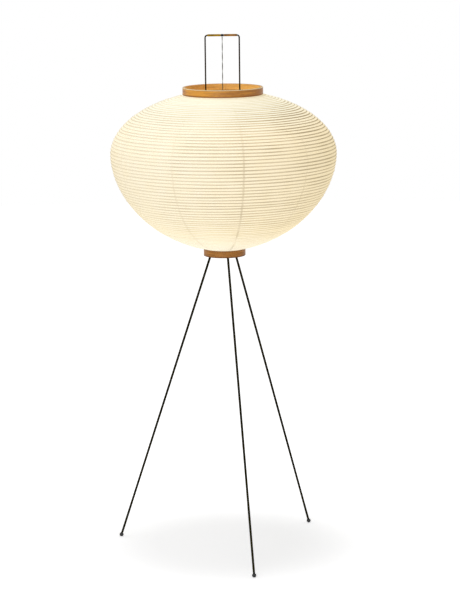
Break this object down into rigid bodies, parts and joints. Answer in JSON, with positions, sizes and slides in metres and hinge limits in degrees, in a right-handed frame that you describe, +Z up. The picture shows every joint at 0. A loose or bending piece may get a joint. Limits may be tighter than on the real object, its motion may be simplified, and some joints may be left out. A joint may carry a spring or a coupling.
{
  "type": "floor lamp",
  "caption": "Paper lantern floor lamp: a ribbed paper shade with bentwood collars, stretched by a wire bow over three thin rod legs with ball feet.",
  "frame": {"origin": "on the floor, on the shade's axis", "axes": "+Z up along the shade's axis, -Y towards the viewer of the picture, +X to the viewer's right"},
  "size_m": [0.5296, 0.5354, 1.2244],
  "materials": {
    "black_steel": "matt black paint on steel rod, wire and plate",
    "foot_rubber": "black moulded rubber",
    "zinc_steel": "zinc-plated small fasteners and stem",
    "spacer_brass": "thin tube of dull aged brass, olive to brown",
    "sleeve_plastic": "dark brown-black sleeve",
    "hanger_steel": "bright thin wire",
    "collar_wood": "bent and glued wood band, orange tan, satin",
    "hoop_wood": "lighter bent wood, lit from inside",
    "bottom_collar_wood": "bent wood band, warm brown, satin",
    "shade_paper": "cream handmade paper, matt, slightly translucent",
    "bamboo": "split bamboo strip",
    "holder_plastic": "black moulded plastic",
    "holder_ceramic": "unglazed white ceramic",
    "contact_brass": "plain brass sheet",
    "bulb_aluminium": "rolled aluminium bulb cap",
    "bulb_glass": "frosted warm white glass",
    "bulb_button": "dark glass button with a solder point"
  },
  "bodies": {
    "stand": {"front_leg": "black_steel", "left_leg": "black_steel", "right_leg": "black_steel", "front_foot": "foot_rubber", "left_foot": "foot_rubber", "right_foot": "foot_rubber", "front_leg_socket": "black_steel", "left_leg_socket": "black_steel", "right_leg_socket": "black_steel", "leg_nuts": "zinc_steel", "hub_plate": "black_steel", "hub_nut_upper": "zinc_steel", "hub_nut_lower": "zinc_steel", "stem": "zinc_steel", "cord_gland": "holder_plastic", "bow": "black_steel", "crossbar_spacer_left": "spacer_brass", "crossbar_spacer_right": "spacer_brass", "bow_socket_left": "black_steel", "bow_socket_right": "black_steel", "bow_screws": "zinc_steel", "bottom_collar": "bottom_collar_wood", "bottom_hoop": "hoop_wood", "paper_shade": "shade_paper", "bamboo_spiral": "bamboo", "holder_cap": "holder_plastic", "holder_body": "holder_plastic", "holder_insert": "holder_ceramic", "holder_ring": "holder_plastic", "screw_shell": "contact_brass", "centre_contact": "contact_brass"},
    "top_ring": {"top_collar": "collar_wood", "top_hoop": "hoop_wood", "top_spider": "hanger_steel"},
    "hanger": {"hanger_sleeve": "sleeve_plastic", "hanger_wire": "hanger_steel"},
    "bulb": {"bulb_cap": "bulb_aluminium", "bulb_glass": "bulb_glass", "bulb_contact": "bulb_button"}
  },
  "joints": [
    {"name": "collar_drop", "type": "slide", "parent": "stand", "child": "top_ring", "axis": [0, 0, 1], "range_m": [-0.185, 0], "deforming": ["paper_shade", "bamboo_spiral"]},
    {"name": "hanger_swing", "type": "hinge", "parent": "stand", "child": "hanger", "pos_m": [0, 0, 1.2213], "axis": [1, 0, 0], "range_deg": [0, 50]},
    {"name": "bulb_turn", "type": "hinge", "parent": "stand", "child": "bulb", "pos_m": [0, 0, 0.78], "axis": [0, 0, 1], "range_deg": [0, 180]}
  ]
}
